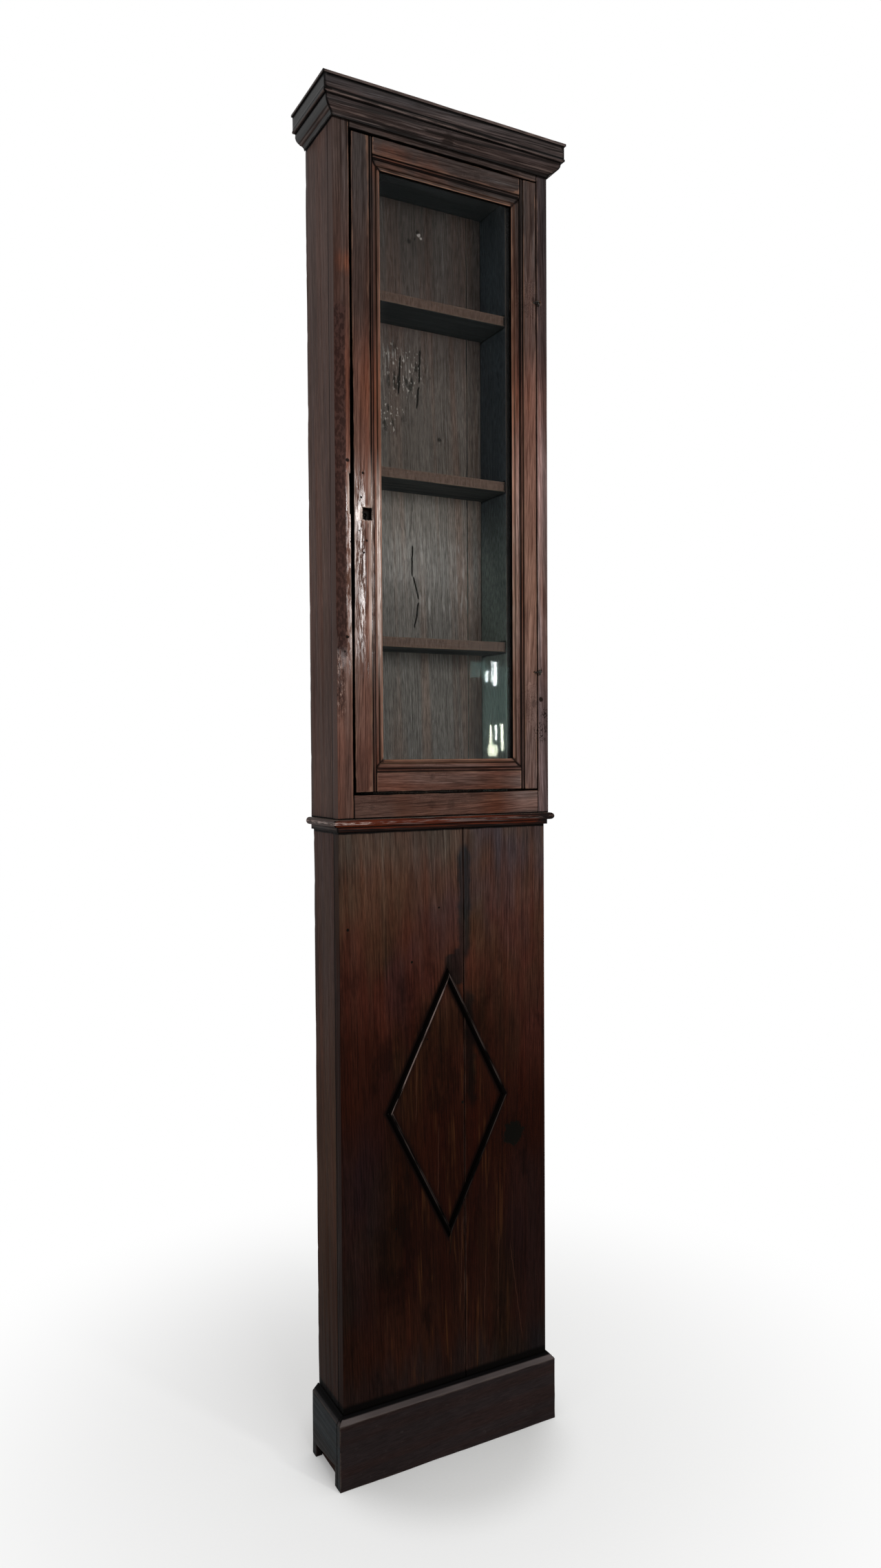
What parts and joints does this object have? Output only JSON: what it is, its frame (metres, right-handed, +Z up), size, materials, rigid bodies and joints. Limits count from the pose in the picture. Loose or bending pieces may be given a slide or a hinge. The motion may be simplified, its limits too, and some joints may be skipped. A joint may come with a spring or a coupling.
{
  "type": "display cabinet",
  "caption": "Tall, narrow, very shallow floor-standing cabinet: glazed upper case with shelves and a hinged door, closed lower case with a diamond bead, cornice and plinth.",
  "frame": {"origin": "on the floor, under the middle of the whole cabinet's box", "axes": "+X to the right seen from the front, +Y to the back, +Z up"},
  "size_m": [0.442, 0.138, 2.2],
  "materials": {
    "case_pine": "dark stained, worn satin varnish",
    "door_pine": "dark red-brown stain, worn satin varnish",
    "moulding_pine": "dark stained, worn satin varnish",
    "plinth_pine": "nearly black stain, worn",
    "inside_pine": "grey-brown, dry, tool marked",
    "rough_pine": "unfinished, aged",
    "old_glass": "clear, slightly uneven",
    "wrought_iron": "dark, rusted",
    "lock_iron": "tarnished"
  },
  "bodies": {
    "case": {"back_nails": "wrought_iron", "cornice_front": "moulding_pine", "cornice_left": "moulding_pine", "cornice_right": "moulding_pine", "diamond_bead_lower_left": "moulding_pine", "diamond_bead_lower_right": "moulding_pine", "diamond_bead_upper_left": "moulding_pine", "diamond_bead_upper_right": "moulding_pine", "frame_rail_bottom": "door_pine", "frame_rail_top": "door_pine", "frame_stile_left": "door_pine", "frame_stile_right": "door_pine", "hinge_frame_eyes": "wrought_iron", "lining_left": "inside_pine", "lining_right": "inside_pine", "lower_back_board_left": "rough_pine", "lower_back_board_right": "rough_pine", "lower_bottom_board": "rough_pine", "lower_front_batten_high": "rough_pine", "lower_front_batten_low": "rough_pine", "lower_front_board_left": "case_pine", "lower_front_board_right": "case_pine", "lower_side_left": "case_pine", "lower_side_right": "case_pine", "lower_top_board": "rough_pine", "plinth_front": "plinth_pine", "plinth_left": "plinth_pine", "plinth_right": "plinth_pine", "shelf_high": "inside_pine", "shelf_low": "inside_pine", "shelf_middle": "inside_pine", "upper_back_board_left": "inside_pine", "upper_back_board_right": "inside_pine", "upper_bottom_board": "rough_pine", "upper_ceiling_board": "inside_pine", "upper_side_left": "case_pine", "upper_side_right": "case_pine", "upper_top_board": "rough_pine", "waist_moulding_front": "moulding_pine", "waist_moulding_left": "moulding_pine", "waist_moulding_right": "moulding_pine"},
    "door": {"door_glass": "old_glass", "door_rail_bottom": "door_pine", "door_rail_top": "door_pine", "door_stile_left": "door_pine", "door_stile_right": "door_pine", "glass_moulding_bottom": "door_pine", "glass_moulding_left": "door_pine", "glass_moulding_right": "door_pine", "glass_moulding_top": "door_pine", "glazing_bead_bottom": "door_pine", "glazing_bead_left": "door_pine", "glazing_bead_right": "door_pine", "glazing_bead_top": "door_pine", "hinge_door_eyes": "wrought_iron", "lock_case": "lock_iron", "lock_plate": "lock_iron", "lock_screws": "lock_iron"},
    "bolt": {"lock_bolt": "lock_iron"}
  },
  "joints": [
    {"name": "door_hinge", "type": "hinge", "parent": "case", "child": "door", "pos_m": [0.1755, -0.0512, 1.6205], "axis": [0, 0, 1], "range_deg": [0, 170]},
    {"name": "bolt_slide", "type": "slide", "parent": "door", "child": "bolt", "axis": [-1, 0, 0], "range_m": [0, 0.007]}
  ]
}
